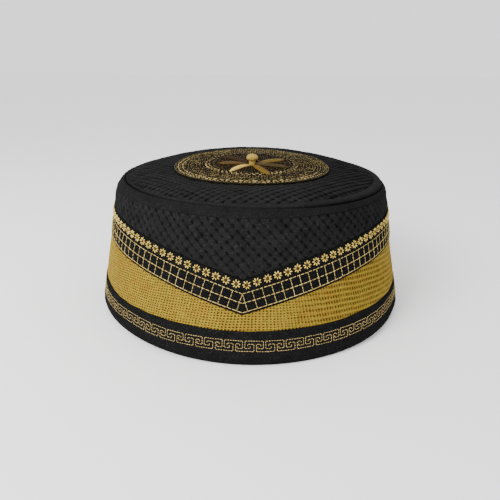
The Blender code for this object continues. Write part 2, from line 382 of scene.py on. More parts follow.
# Gold field: open-weave cloth in mustard gold, stretched round the wall between the headband and the
# strip. It is cut straight, so its rows of holes dip a little to the sides, and its upright threads fan
# out to the foot. On +X the rows are drawn taller, in pairs.
CHEVRON_TURN = -2.3             # the point of the V sits a little to one side of the front
CHEVRON_POINT = 26.4 * MM
CHEVRON_PEAK = 45.0 * MM
CHEVRON_BEND = 2.5              # the power by which the strip steepens to the point
WALL_CLOTH = 2.0 * MM
SEAM_GAP = 0.3 * MM
GOLD_COLUMNS = 1400
GOLD_RADIUS = 91.0              # millimetres, where the cloth isn't stretched
GOLD_MIDDLE = 28 * MM           # height at which its threads are evenly spaced
NOISE_RADIUS = 90.0             # millimetres, where its unevenness is read from noise
GOLD_STEP = 0.345 * MM          # height between the mesh's rows
HOLES_APART = 1.68 * MM         # along a row
ROWS_APART = 1.38 * MM
ROWS_DIP = 0.75                 # 1 is cloth laid round the cone without any stretch
THREADS_LEAN = 0.2              # of the upright threads to either side, as a slope
THREADS_MIDDLE = 5.0            # turn that they lean away from
THREADS_SPREAD = 9.0            # degrees from there in which they come to lean
BACK_FADE = (120.0, 165.0)      # degrees from the front over which the sides' unevenness fades out
HOLE_DEPTH = 0.5 * MM
RIB_DEPTH = 0.25 * MM           # between the ribs that stand where the rows are drawn in pairs
SEAM_ROLL = 0.2 * MM            # how far a panel's edge is pulled in at a seam


def wall_radius(height):
    """Outer radius of the wall's cone."""
    return headband_radius(height) - HEADBAND_PROUD


def on_wall(turn, height, outward=0.0):
    """Points on the wall, moved out from it square to its slope."""
    level = around(turn) * wall_radius(height)[..., None] + upright(height)
    return level + off_wall(turn) * np.asarray(outward)[..., None]


def chevron_edge(turn):
    """Height of the strip's lower edge."""
    away = (turn - CHEVRON_TURN + 180.0) % 360.0 - 180.0
    to_point = np.abs(90.0 - np.abs(away)) / 90.0
    return CHEVRON_PEAK - (CHEVRON_PEAK - CHEVRON_POINT) * to_point ** CHEVRON_BEND


def level_map(turn, height):
    """UVs in millimetres: round the cap and up it."""
    return np.stack((laid_out(turn), height / MM), axis=-1)


def wall_piece(name, low, high, columns, row_pitch, relief, cloth_lay, marks):
    """A panel of the wall between two edges. Both, its relief, its UVs and its marks are functions."""
    edge = columns_round(columns, CHEVRON_TURN - 180.0)
    turn = edge[:-1]
    steps = np.arange(math.floor(low(turn).min() / row_pitch), math.ceil(high(turn).max() / row_pitch) + 1)
    height = np.clip((steps * row_pitch)[:, None], low(turn)[None], high(turn)[None])
    turns = np.broadcast_to(turn, height.shape)
    outer = on_wall(turns, height, relief(turns, height))
    inside = [on_wall(turn, bound, np.full(columns, -WALL_CLOTH)) for bound in (high(turn), low(turn))]
    heights = np.concatenate((height, [high(turn)], [low(turn)]))
    heights = closed(heights)
    uv = cloth_lay(np.broadcast_to(edge, heights.shape), heights)
    hidden = np.zeros((2, columns))
    stored = {mark: np.concatenate((values(turns, height), hidden)) for mark, values in marks.items()}
    return skin(name, np.concatenate((outer, np.stack(inside))), uv, True, stored)


def gold_low(turn):
    """Lower edge of the gold field."""
    return np.full(np.shape(turn), HEADBAND_HEIGHT + SEAM_GAP / 3)


def gold_high(turn):
    """Upper edge of the gold field."""
    return chevron_edge(turn) - SEAM_GAP / 3


def to_front(turn):
    """1 at the front and the sides, and 0 at the back, where the cloth is joined."""
    return 1 - ease(np.abs(turn), *BACK_FADE)


def grain(turn, height):
    """Where the gold cloth's points lay before it was sewn on: along its rows, and up across them."""
    slope = math.atan(WALL_TAPER)
    reach = wall_radius(height) / math.sin(slope)
    dip = ROWS_DIP * (1 - np.cos(np.radians(turn) * math.sin(slope)))
    lean = THREADS_LEAN * np.tanh((turn - THREADS_MIDDLE) / THREADS_SPREAD) * to_front(turn)
    place = spots_round(turn, height, NOISE_RADIUS)
    along = np.radians(turn) * GOLD_RADIUS * MM + lean * (height - GOLD_MIDDLE)
    along = along + mottle(place, 11 * MM, 3) * 0.3 * MM + mottle(place, 2.3 * MM, 17) * 0.2 * MM
    up = wall_radius(0.0) / math.sin(slope) - reach * (1 - dip) + mottle(place, 14 * MM, 4) * 0.35 * MM
    return along, up + mottle(place, 2.3 * MM, 18) * 0.2 * MM


def grain_map(turn, height):
    """UVs in millimetres, along the cloth's rows and across them."""
    return np.stack(grain(turn, height), axis=-1) / MM


def drawn(turn, height):
    """How far every second row of holes is drawn tall and the rows between are closed, from 0 to 1."""
    return np.broadcast_to(ease(turn, 6.0, 30.0) * to_front(turn), height.shape)


def slack(turn, height):
    """How open the holes are, 1 where they are widest."""
    place = spots_round(turn, height, NOISE_RADIUS)
    right = (ease(turn, 12.0, 30.0) * 0.2 + ease(turn, 42.0, 62.0) * 0.2) * to_front(turn)
    left = ease(-turn, 35.0, 60.0) * 0.5 * to_front(turn)
    return 0.95 - right + left + mottle(place, 4 * MM, 5) * 0.3 + mottle(place, 23 * MM, 6) * 0.3


def holes(turn, height):
    """How deep a point is in a hole of the weave, from 0 on the threads to 1, and between the ribs."""
    along, up = grain(turn, height)
    across = np.cos(math.pi * along / HOLES_APART) ** 2
    near = np.cos(math.pi * up / ROWS_APART) ** 2
    far = np.abs(np.cos(math.pi * up / ROWS_APART / 2)) ** 1.3
    rows = near + (far - near) * drawn(turn, height)
    ribs = far * drawn(turn, height) * (1 - 0.6 * ease(turn, 38.0, 60.0))
    return across * rows * np.clip(slack(turn, height), 0.0, 1.2), ribs


def gold_relief(turn, height):
    """Threads and holes, with the cloth a little slack between its seams."""
    place = spots_round(turn, height, NOISE_RADIUS)
    loose = mottle(place, 24 * MM, 7) * 0.6 * MM
    pits, ribs = holes(turn, height)
    near_seam = bell(np.minimum(height - gold_low(turn), gold_high(turn) - height), 0.5 * MM)
    return loose - HOLE_DEPTH * pits - RIB_DEPTH * ribs - SEAM_ROLL * near_seam


def stored_value(tree, name):
    """A value stored on the piece, as a socket."""
    return add_node(tree, "ShaderNodeAttribute", attribute_name=name).outputs["Fac"]


def gold_weave(name, lemon, warm, deep, shade):
    """Mustard gold cloth: uneven threads, lemon and warmer patches, and a dark hole at every step."""
    material, tree, shader = new_finish(name)
    along, up = cloth_coordinates(tree)
    streaks = []
    for along_scale, up_scale, shift in ((0.3, 2.6, 0.0), (3.0, 0.35, 5.0)):
        spot = calc(tree, "MULTIPLY", along, along_scale), calc(tree, "MULTIPLY", up, up_scale), shift
        spot = output(tree, "ShaderNodeCombineXYZ", enumerate(spot))
        feeds = {"Vector": spot, "Scale": 1.0, "Detail": 2.0}
        streaks.append(output(tree, "ShaderNodeTexNoise", feeds))
    thread = calc(tree, "MULTIPLY", calc(tree, "ADD", *streaks), 0.5)
    tone = calc(tree, "MULTIPLY_ADD", thread, 3.8, -1.9)
    patch = calc(tree, "MULTIPLY_ADD", speckle(tree, 7 * MM, 1.0), 2.2, -0.7)
    tint = mix(tree, patch, (*lemon, 1), (*warm, 1))
    colour = mix(tree, calc(tree, "MULTIPLY_ADD", speckle(tree, 0.8 * MM), 1.7, tone), (*deep, 1), tint)
    paired = stored_value(tree, "drawn")
    opened = stored_value(tree, "slack")
    step, rise = HOLES_APART / MM, ROWS_APART / MM
    across = ridges(tree, calc(tree, "ADD", along, step / 4), step)
    near = ridges(tree, calc(tree, "ADD", up, rise / 4), rise)
    far = calc(tree, "POWER", ridges(tree, calc(tree, "ADD", up, rise / 2), 2 * rise), 0.65)
    rows = calc(tree, "MULTIPLY_ADD", calc(tree, "SUBTRACT", far, near), paired, near)
    cell = [calc(tree, "ROUND", calc(tree, "DIVIDE", *pair)) for pair in ((along, step), (up, rise))]
    spot = output(tree, "ShaderNodeCombineXYZ", enumerate(cell))
    chance = output(tree, "ShaderNodeTexWhiteNoise", {"Vector": spot}, noise_dimensions="2D")
    opened = calc(tree, "MULTIPLY", opened, calc(tree, "MULTIPLY_ADD", chance, 0.3, 0.81))
    pit = calc(tree, "MULTIPLY", calc(tree, "MULTIPLY", across, rows), opened)
    valley = calc(tree, "MULTIPLY", calc(tree, "MULTIPLY", far, paired), 0.15)
    between = calc(tree, "ADD", ridges(tree, along, step / 2), ridges(tree, up, rise / 2))
    colour = mix(tree, calc(tree, "MULTIPLY_ADD", between, -0.5, 0.68), colour, (*deep, 1))
    colour = mix(tree, valley, colour, (*shade, 1))
    dark = calc(tree, "MINIMUM", calc(tree, "MULTIPLY_ADD", pit, 2.1, -0.36), 0.82)
    colour = mix(tree, dark, colour, (*shade, 1))
    strand = calc(tree, "ADD", ridges(tree, along, 0.38), ridges(tree, up, 0.38))
    relief = calc(tree, "MULTIPLY_ADD", strand, 0.4, thread)
    dress(tree, shader, colour, relief, strength=0.5, depth=0.15 * MM, roughness=0.75, gloss=0.03)
    return material


gold_field = wall_piece("gold_field", gold_low, gold_high, GOLD_COLUMNS, GOLD_STEP, gold_relief, grain_map,
                        {"drawn": drawn, "slack": slack})
gold_cloth = gold_weave("gold_cloth", (0.31, 0.229, 0.028), (0.315, 0.184, 0.023), (0.098, 0.058, 0.008),
                        (0.022, 0.011, 0.002))
wear(gold_field, gold_cloth, "gold_mesh_cloth", "gold_panel")

# Strip: plain black cotton laid over the seam between the gold field and the quilted one, in a V at the
# front and another at the back. Both its edges are turned under, and lines of stitching draw it in.
CHEVRON_WIDTH = 17.1 * MM
CHEVRON_PROUD = 0.3 * MM
LINE_RISES = (1.3 * MM, 5.9 * MM, 10.6 * MM)    # of the three gold lines, above the lower edge
STRIP_COLUMNS = 1080
STRIP_ROWS = 34


def strip_relief(rise):
    """Height of the strip over its base: rounded at both edges and drawn in along the lines of stitching."""
    near = np.minimum(rise, CHEVRON_WIDTH - rise)
    body = -0.35 * MM * bell(near, 0.45 * MM) + 0.12 * MM
    for line in LINE_RISES:
        body = body - 0.16 * MM * bell(rise - line, 0.7 * MM)
    return body


def strip_surface(turn, rise):
    """How far the strip's face stands out of the wall."""
    place = on_wall(turn, chevron_edge(turn) + rise)
    return CHEVRON_PROUD + strip_relief(rise) + mottle(place, 9 * MM, 8) * 0.25 * MM


def make_strip():
    """The strip, its rows running along it."""
    edge = columns_round(STRIP_COLUMNS, CHEVRON_TURN - 180.0)
    turn = edge[:-1]
    rise = SEAM_GAP / 3 + (CHEVRON_WIDTH - SEAM_GAP * 2 / 3) * np.linspace(0, 1, STRIP_ROWS)
    height = chevron_edge(turn)[None] + rise[:, None]
    turns, rises = np.broadcast_arrays(turn[None], rise[:, None])
    outer = on_wall(turns, height, strip_surface(turns, rises))
    inside = [on_wall(turn, row, np.full(STRIP_COLUMNS, -WALL_CLOTH)) for row in (height[-1], height[0])]
    along = np.concatenate((rise, rise[[-1, 0]]))[:, None] / MM
    return skin("strip", np.concatenate((outer, np.stack(inside))), cloth_map(edge, along), True)


strip_cotton = black_cotton("strip_cotton", (0.0024, 0.0024, 0.0026), (0.0072, 0.0072, 0.0078), 0.88)
wear(make_strip(), strip_cotton, "black_band_cloth", "chevron_band")

# Quilted field: black cloth, wadding and backing caught together by short slanting stitches on a
# staggered grid. Each stitch pulls a small slit into the cloth, and the cloth puffs up between them.
SHOULDER_FOOT = 72.5 * MM
DIAMONDS_ROUND = 104
DIAMOND_HEIGHT = 5.3 * MM
QUILT_PUFF = 0.9 * MM
QUILT_SINK = 0.6 * MM           # the bottom of a slit lies this far inside the wall's surface
SLIT_WIDTH = 0.13               # as a share of the grid's step, to either side of the middle
SLIT_LENGTH = 0.42
SLIT_SCATTER = (12.99, 78.23, 437.585)      # these make one slit a little deeper or longer than the next
QUILT_COLUMNS = 13 * DIAMONDS_ROUND
QUILT_STEP = 0.42 * MM          # height between the mesh's rows
QUILT_RADIUS = 84.0             # millimetres, where its unevenness is read from noise


def puff(across, along):
    """Height from 0 to 1 of a quilted cloth, on a grid that has a slit at each whole step both ways."""
    column, row = np.round(across), np.round(along)
    first, second, spread = SLIT_SCATTER
    chance = np.sin((column % DIAMONDS_ROUND) * first + (row % DIAMONDS_ROUND) * second) * spread
    chance = chance - np.floor(chance)
    off_across = (across - column) / SLIT_WIDTH
    off_along = (along - row) / (SLIT_LENGTH * (0.7 + 0.5 * chance))
    slit = np.exp(-(off_across ** 2) - off_along ** 2) * (1.0 - 0.45 * chance)
    hollow = 0.14 * bell(off_across, 1.0) + 0.2 * bell(along - row, 0.2)
    return 1.0 - 0.8 * slit - hollow * (1 - slit)


def wall_puff(turn, height):
    """How far the quilting of the wall is puffed at a point."""
    place = spots_round(turn, height, QUILT_RADIUS)
    across = (turn - CHEVRON_TURN) / 360.0 * DIAMONDS_ROUND + mottle(place, 16 * MM, 9) * 0.14
    up = height / DIAMOND_HEIGHT + mottle(place, 13 * MM, 10) * 0.14
    return puff(across + up, across - up) * (1 + 0.4 * mottle(place, 5 * MM, 11))


def quilt_low(turn):
    """Lower edge of the quilted field."""
    return chevron_edge(turn) + CHEVRON_WIDTH + SEAM_GAP / 3


def quilt_high(turn):
    """Upper edge of the quilted field."""
    return np.full(np.shape(turn), SHOULDER_FOOT - SEAM_GAP / 10)


def quilt_relief(turn, height):
    """Puffed diamonds that flatten towards the two seams. The upper seam draws in on +X alone."""
    low, high = height - quilt_low(turn), quilt_high(turn) - height
    share = ease(low, 0.0, 0.9 * MM) * ease(high, 0.0, 2.6 * MM - 1.4 * MM * ease(turn, 0.0, 15.0))
    drawn_in = bell(low, 0.4 * MM) + bell(high, 0.4 * MM) * seam_depth(turn)
    return (QUILT_PUFF * wall_puff(turn, height) - QUILT_SINK) * share - SEAM_ROLL * drawn_in


def seam_depth(turn):
    """How far the seam under the shoulder draws in, 1 on +X and next to nothing on -X."""
    return 0.1 + 1.4 * ease(turn, 2.0, 32.0) * (1 - ease(turn, 140.0, 170.0))


def quilted_cloth(name, dark, worn_and_crest_light, roughness, depth=1.2):
    """Black quilted cloth, with painted shade in its slits and wherever its stored puff mark is low."""
    material = black_cotton(name, dark, worn_and_crest_light, roughness)
    tree = material.node_tree
    shader = tree.nodes["Principled BSDF"]
    woven = shader.inputs["Base Color"].links[0].from_socket
    # Painted shade: the lower the stored puff mark, the nearer to black the cloth. depth sets how strongly.
    shade = calc(tree, "MULTIPLY", calc(tree, "SUBTRACT", 0.9, stored_value(tree, "puff")), depth)
    tree.links.new(mix(tree, shade, woven, (0.0015, 0.0015, 0.0015, 1)), shader.inputs["Base Color"])
    return material


quilted_field = wall_piece("quilted_field", quilt_low, quilt_high, QUILT_COLUMNS, QUILT_STEP, quilt_relief,
                           level_map, {"puff": wall_puff})
quilt_cloth = quilted_cloth("quilt_cloth", (0.0048, 0.0048, 0.0048), (0.0146, 0.0146, 0.0146), 0.85, 1.5)
wear(quilted_field, quilt_cloth, "black_quilted_cloth", "quilted_wall")

# Shoulder: a plain band of the black cotton over a thin roll of wadding, between the wall's seam and the
# crown's. It is eased in to turn the corner, which leaves short faint wrinkles.
CROWN_SEAM = 78.1 * MM
CROWN_OFFSET = 1.5 * MM         # the crown's seam runs this far off centre, towards +X
CROWN_CLOTH = 2.0 * MM
CROWN_EDGE = 78.4 * MM
CROWN_EDGE_HEIGHT = 76.4 * MM
CROWN_FLAT_HEIGHT = 81.9 * MM
CROWN_MIDDLE_HEIGHT = 82.2 * MM
CROWN_ROUND = 2.4 * MM
CROWN_LEAN = 0.068              # slope by which the middle rises to the back
CROWN_SETTLED = 1.8 * MM        # how far the crown sinks half way out to both sides
BACK_SAG = 1.1 * MM             # the medallion's back lies this much deeper
MEDALLION_RADIUS = 47.9 * MM
BUTTON_X = 0.3 * MM
BUTTON_Y = -4.0 * MM
DIMPLE_DEPTH = 1.0 * MM
DIMPLE_RADIUS = 7.0 * MM
SHOULDER_PAD = 0.35 * MM
SHOULDER_ROWS = 22
SHOULDER_COLUMNS = 720


def top_height(x, y):
    """Height of the cap's top over a point: the crown, its turned edge and the shoulder."""
    radius = np.hypot(x, y)
    slope = (CROWN_EDGE_HEIGHT - SHOULDER_FOOT) / (wall_radius(SHOULDER_FOOT) - CROWN_EDGE)
    shoulder = CROWN_EDGE_HEIGHT - slope * (radius - CROWN_EDGE)
    share = (radius - MEDALLION_RADIUS) / (CROWN_EDGE - MEDALLION_RADIUS)
    crown = CROWN_FLAT_HEIGHT + (CROWN_EDGE_HEIGHT - CROWN_FLAT_HEIGHT) * share
    crown = crown + CROWN_ROUND * 4 * share * (1 - share)
    rise = CROWN_FLAT_HEIGHT - CROWN_MIDDLE_HEIGHT
    middle = CROWN_MIDDLE_HEIGHT + rise * (radius / MEDALLION_RADIUS) ** 2
    inner = np.where(radius > MEDALLION_RADIUS, crown, middle)
    inward = 1 - (radius / CROWN_EDGE) ** 2
    sag = BACK_SAG * ease(y, 22 * MM, 42 * MM) * (1 - ease(radius, 49 * MM, 64 * MM))
    inner = inner + CROWN_LEAN * y * inward - CROWN_SETTLED * 4 * (x / CROWN_EDGE) ** 2 * inward - sag
    from_button = np.hypot(x - BUTTON_X, y - BUTTON_Y)
    inner = inner - DIMPLE_DEPTH * bell(from_button, DIMPLE_RADIUS)
    return np.where(radius > CROWN_EDGE, shoulder, inner)


def seam_ring(radius, turn):
    """Points, level with the floor, of rings that are drawn off centre near the crown's seam."""
    shift = np.zeros((*np.broadcast(radius, turn).shape, 3))
    shift[..., 0] = CROWN_OFFSET * (radius / CROWN_SEAM) ** 4
    return around(turn) * np.asarray(radius)[..., None] + shift


def at_top(points, lift=0.0):
    """The points at the height of the cap's top, lifted by a distance."""
    placed = np.array(points)
    placed[..., 2] = top_height(placed[..., 0], placed[..., 1]) + lift
    return placed


def crown_seam_depth(turn):
    """How far the crown's seam draws in, least at the front towards -X, where it is flattened. The crown's
    painted shade along its seam follows it too.
    """
    return 1 - 0.65 * ease(turn, -55.0, -28.0) * (1 - ease(turn, 2.0, 30.0))


def make_shoulder():
    """The rounded band from the wall's seam to the crown's."""
    edge = columns_round(SHOULDER_COLUMNS)
    turn = edge[:-1]
    ones = np.ones(SHOULDER_COLUMNS)
    foot_height = SHOULDER_FOOT + SEAM_GAP / 10
    foot = around(turn) * wall_radius(foot_height) + upright(ones * foot_height)
    seam = at_top(seam_ring(ones * (CROWN_SEAM + SEAM_GAP / 3), turn))
    share = np.linspace(0, 1, SHOULDER_ROWS)[:, None, None]
    band = foot[None] * (1 - share) + seam[None] * share
    width = np.linalg.norm(seam - foot, axis=1)[None]
    low, high = share[..., 0] * width, (1 - share[..., 0]) * width
    wrinkle = np.concatenate((band[..., :2] * 3.0, band[..., 2:]), axis=-1)
    drawn_in = 2 * SEAM_ROLL * bell(high, 0.45 * MM) * crown_seam_depth(turn)[None]
    lift = SHOULDER_PAD * np.sin(math.pi * share[..., 0]) - drawn_in
    lift = lift - SEAM_ROLL * bell(low, 0.45 * MM) * seam_depth(turn)[None]
    lift = lift + mottle(wrinkle, 6 * MM, 12) * 0.35 * MM * np.sin(math.pi * share[..., 0])
    outer = at_top(band, lift)
    outer[0] = foot
    under = seam - upright(ones * CROWN_CLOTH)
    back = around(turn) * (wall_radius(foot_height) - WALL_CLOTH) + upright(ones * foot_height)
    points = np.concatenate((outer, under[None], back[None]))
    along = np.concatenate((share[:, 0, 0] * 6.0, (8.0, 14.0)))[:, None]
    return skin("shoulder", points, cloth_map(edge, along), True)


shoulder_cotton = black_cotton("shoulder_cotton", (0.0034, 0.0034, 0.0034), (0.0115, 0.0115, 0.0115),
                               0.88, 0.14)
wear(make_shoulder(), shoulder_cotton, "black_band_cloth", "shoulder_band")

# Crown: a disc of the quilted cloth, its lines running straight across from edge to edge. A plain
# rounded margin is left inside the seam, wider on +X, and the medallion covers the middle.
CROWN_LINE_PITCH = 3.8 * MM
CROWN_MARGIN = 3.0 * MM
CROWN_MARGIN_SWAY = 1.4 * MM    # wider by this on +X, narrower on -X
CROWN_PUFF = 1.15 * MM
CROWN_COLUMNS = 960
CROWN_STEP = 0.46 * MM          # from ring to ring of the mesh
CROWN_COVERED = 46.5 * MM       # inside this the medallion hides the quilting


def crown_puff(points):
    """How far the crown's quilting is puffed at each point."""
    slant = CROWN_LINE_PITCH * math.sqrt(2.0)
    x = points[..., 0] + mottle(points, 15 * MM, 13) * 0.5 * MM
    y = points[..., 1] + mottle(points, 15 * MM, 14) * 0.5 * MM
    return puff((x - y) / slant, (x + y) / slant) * (1 + 0.2 * mottle(points, 5 * MM, 15))


def make_crown():
    """The quilted disc, from its middle below, out to the seam, and back in over the top."""
    turn = columns_round(CROWN_COLUMNS)[:-1]
    outer_radius = CROWN_SEAM - SEAM_GAP / 3
    below = np.array((0.0, 25.0, 50.0, 70.0)) * MM
    above = np.arange(outer_radius, CROWN_COVERED, -CROWN_STEP)
    hidden = np.array((40.0, 25.0, 10.0, 0.0)) * MM
    radius = np.concatenate((below, [outer_radius], above, hidden))
    ring, turns = np.meshgrid(radius, turn, indexing="ij")
    flat = seam_ring(ring, turns)
    quilting = crown_puff(flat)
    from_seam = outer_radius - ring
    margin = CROWN_MARGIN + CROWN_MARGIN_SWAY * np.sin(np.radians(turns))
    quilted = ease(from_seam, margin, margin + 0.9 * MM)
    rounded = np.sin(math.pi * np.clip(from_seam / margin, 0.0, 1.0)) * 0.6 * MM
    groove = 0.3 * MM * bell(from_seam - margin - 0.3 * MM, 0.45 * MM)
    # Painted shade: the stored puff mark is lowered towards both sides, most on +X, which darkens the
    # quilting there. It sets no height.
    painted_side_shade = 0.19 * ease(flat[..., 0], 5 * MM, 60 * MM) + 0.06 * ease(-flat[..., 0], 20 * MM, 60 * MM)
    drawn_in = bell(from_seam, 0.5 * MM) * crown_seam_depth(turns)
    # The plain margin's mark is lowered where the seam draws in, a painted shade along the seam.
    raised = (quilting - painted_side_shade) * quilted + (0.86 - 0.4 * drawn_in) * (1 - quilted)
    lift = (CROWN_PUFF * (quilting - 0.7)) * quilted + rounded * (1 - quilted) - groove
    lift = lift - 2 * SEAM_ROLL * drawn_in
    lift[:len(below) + 1] = -CROWN_CLOTH
    lift[-len(hidden):] = -0.4 * MM
    uv = np.stack((ring * np.sin(np.radians(turns)), ring * np.cos(np.radians(turns))), axis=-1) / MM
    return skin("crown", at_top(flat, lift), closed(uv), False, {"puff": raised})


crown_cloth = quilted_cloth("crown_cloth", (0.0058, 0.0058, 0.0058), (0.0166, 0.0166, 0.0166), 0.85, 2.2)
wear(make_crown(), crown_cloth, "black_quilted_cloth", "crown_top")

# Medallion ground: a disc of firm brown backing cloth under the embroidery. It is sewn on the crown round
# its edge.
MEDALLION_CLOTH = 1.0 * MM
MEDALLION_COLUMNS = 360
MEDALLION_STEP = 0.9 * MM       # from ring to ring of the mesh


def make_medallion():
    """The ground disc, its edge rounded."""
    turn = columns_round(MEDALLION_COLUMNS)[:-1]
    below = np.array((0.0, 15.0, 30.0, 47.6)) * MM
    above = np.arange(MEDALLION_RADIUS, 3.0 * MM, -MEDALLION_STEP)
    radius = np.concatenate((below, above, (1.5 * MM, 0.0)))
    ring, turns = np.meshgrid(radius, turn, indexing="ij")
    flat = around(turns) * ring[..., None]
    lift = SEAM_GAP + MEDALLION_CLOTH - 0.5 * MM * bell(MEDALLION_RADIUS - ring, 0.5 * MM)
    lift = lift + mottle(flat, 6 * MM, 16) * 0.3 * MM
    lift[:len(below)] = SEAM_GAP
    return skin("medallion_disc", at_top(flat, lift), closed(flat[..., :2] / MM), False)


medallion_ground = black_cotton("medallion_ground", (0.0028, 0.0022, 0.0012), (0.011, 0.0085, 0.004), 0.85)
wear(make_medallion(), medallion_ground, "embroidered_disc", "medallion")

# Embroidery thread: satin rayon in golds and browns, sewn by machine. Each stitch is a short rounded
# length of thread that sinks into the cloth at both ends, so a stitched line looks dashed.
STITCH_INPUTS = {
    "Guide": "Geometry", "Stitch Length": "Float", "Thread Width": "Float", "Thread Height": "Float",
    "Cover": "Float", "Unevenness": "Float", "Wander": "Float", "Seed": "Int", "Thread": "Material",
}
TONE_SEED = 9.0                 # added to the seed, for how pale each stitch is


def stitch_shape(tree):
    """One stitch a metre long and as wide, along X, fuller than an ellipsoid at its ends."""
    ball = add_node(tree, "GeometryNodeMeshUVSphere", {"Segments": 6, "Rings": 4, "Radius": 0.5})
    feeds = {"Geometry": ball.outputs["Mesh"], "Name": "UVMap", "Value": ball.outputs["UV Map"]}
    mapped = output(tree, "GeometryNodeStoreNamedAttribute", feeds, data_type="FLOAT2", domain="CORNER")
    along = output(tree, "GeometryNodeTransform", {"Geometry": mapped, "Rotation": (0, math.pi / 2, 0)})
    place = output(tree, "GeometryNodeInputPosition")
    x, y, z = add_node(tree, "ShaderNodeSeparateXYZ", {0: place}).outputs
    fuller = calc(tree, "MULTIPLY_ADD", calc(tree, "MULTIPLY", x, x), 4.0, 1.0)
    fuller = calc(tree, "SQRT", fuller)
    wide = [calc(tree, "MULTIPLY", way, fuller) for way in (y, z)]
    moved = output(tree, "ShaderNodeCombineXYZ", enumerate((x, *wide)))
    return output(tree, "GeometryNodeSetPosition", {"Geometry": along, "Position": moved})


def random_value(tree, low, high, seed):
    """A random number for each element."""
    feeds = {2: low, 3: high, "Seed": seed}
    return add_node(tree, "FunctionNodeRandomValue", feeds, data_type="FLOAT").outputs[1]


def make_stitch_tree():
    """Lays a stitch on each stretch of a guide line, flat against the cloth under it."""
    tree = bpy.data.node_groups.new("stitches", "GeometryNodeTree")
    tree.interface.new_socket("Geometry", in_out="OUTPUT", socket_type="NodeSocketGeometry")
    for name, kind in STITCH_INPUTS.items():
        tree.interface.new_socket(name, in_out="INPUT", socket_type="NodeSocket" + kind)
    given = add_node(tree, "NodeGroupInput").outputs
    line = output(tree, "GeometryNodeMeshToCurve", {"Mesh": given["Guide"]})
    feeds = {"Curve": line, "Length": given["Stitch Length"]}
    line = output(tree, "GeometryNodeResampleCurve", feeds, mode="LENGTH")
    line = output(tree, "GeometryNodeCurveToMesh", {"Curve": line})
    ends = add_node(tree, "GeometryNodeInputMeshEdgeVertices").outputs
    feeds = {0: ends["Position 2"], 1: ends["Position 1"]}
    reach = output(tree, "ShaderNodeVectorMath", feeds, operation="SUBTRACT")
    feeds = {"Geometry": line, "Name": "along", "Value": reach}
    line = output(tree, "GeometryNodeStoreNamedAttribute", feeds, data_type="FLOAT_VECTOR", domain="EDGE")
    feeds = {0: (-1.0, -1.0, -1.0), 1: (1.0, 1.0, 1.0), "Seed": given["Seed"]}
    stray = output(tree, "FunctionNodeRandomValue", feeds, data_type="FLOAT_VECTOR")
    stray = output(tree, "ShaderNodeVectorMath", {0: stray, "Scale": given["Wander"]}, operation="SCALE")
    middle = output(tree, "GeometryNodeInputPosition")
    middle = output(tree, "ShaderNodeVectorMath", {0: middle, 1: stray}, operation="ADD")
    spots = output(tree, "GeometryNodeMeshToPoints", {"Mesh": line, "Position": middle}, mode="EDGES")
    along, out = (output(tree, "GeometryNodeInputNamedAttribute", {"Name": name}, data_type="FLOAT_VECTOR")
                  for name in ("along", "out"))
    turned = output(tree, "FunctionNodeAlignRotationToVector", {"Vector": along}, axis="X")
    feeds = {"Rotation": turned, "Vector": out}
    turned = output(tree, "FunctionNodeAlignRotationToVector", feeds, axis="Z", pivot_axis="X")
    length = add_node(tree, "ShaderNodeVectorMath", {0: along}, operation="LENGTH").outputs["Value"]
    length = calc(tree, "MULTIPLY", length, given["Cover"])
    less = calc(tree, "MULTIPLY", given["Unevenness"], -1.0)
    sizes = []
    for number, size in enumerate((length, given["Thread Width"], given["Thread Height"])):
        seed = calc(tree, "ADD", given["Seed"], number + 1.0)
        sway = calc(tree, "ADD", 1.0, random_value(tree, less, given["Unevenness"], seed))
        sizes.append(calc(tree, "MULTIPLY", size, sway))
    scale = output(tree, "ShaderNodeCombineXYZ", enumerate(sizes))
    tone = random_value(tree, 0.0, 1.0, calc(tree, "ADD", given["Seed"], TONE_SEED))
    feeds = {"Geometry": spots, "Name": "tone", "Value": tone}
    toned = output(tree, "GeometryNodeStoreNamedAttribute", feeds, data_type="FLOAT", domain="POINT")
    feeds = {"Points": toned, "Instance": stitch_shape(tree), "Rotation": turned, "Scale": scale}
    laid = output(tree, "GeometryNodeInstanceOnPoints", feeds)
    real = output(tree, "GeometryNodeRealizeInstances", {"Geometry": laid})
    smooth = output(tree, "GeometryNodeSetShadeSmooth", {"Geometry": real})
    done = output(tree, "GeometryNodeSetMaterial", {"Geometry": smooth, "Material": given["Thread"]})
    tree.links.new(done, add_node(tree, "NodeGroupOutput").inputs[0])
    return tree


stitch_tree = make_stitch_tree()


def grow(name, guide_mesh, tree, settings):
    """Runs a tree on a guide and keeps the result as a plain mesh."""
    guide = link(bpy.data.objects.new(name + "_guide", guide_mesh))
    modifier = guide.modifiers.new("grow", "NODES")
    modifier.node_group = tree
    for socket in tree.interface.items_tree:
        if socket.in_out == "INPUT" and socket.name in settings:
            modifier[socket.identifier] = settings[socket.name]
    depsgraph = bpy.context.evaluated_depsgraph_get()
    made = bpy.data.meshes.new_from_object(guide.evaluated_get(depsgraph))
    made.name = name
    bpy.data.objects.remove(guide)
    return link(bpy.data.objects.new(name, made))


def guide_lines(name, lines):
    """A mesh of open lines, each given as its points and the directions out of the cloth there."""
    points = np.concatenate([line[0] for line in lines])
    outs = np.concatenate([line[1] for line in lines])
    edges = []
    start = 0
    for line in lines:
        count = len(line[0])
        edges += [(start + step, start + step + 1) for step in range(count - 1)]
        start += count
    mesh = bpy.data.meshes.new(name)
    mesh.from_pydata(points.tolist(), edges, [])
    stored = mesh.attributes.new("out", "FLOAT_VECTOR", "POINT")
    stored.data.foreach_set("vector", outs.astype(np.float32).ravel())
    return mesh


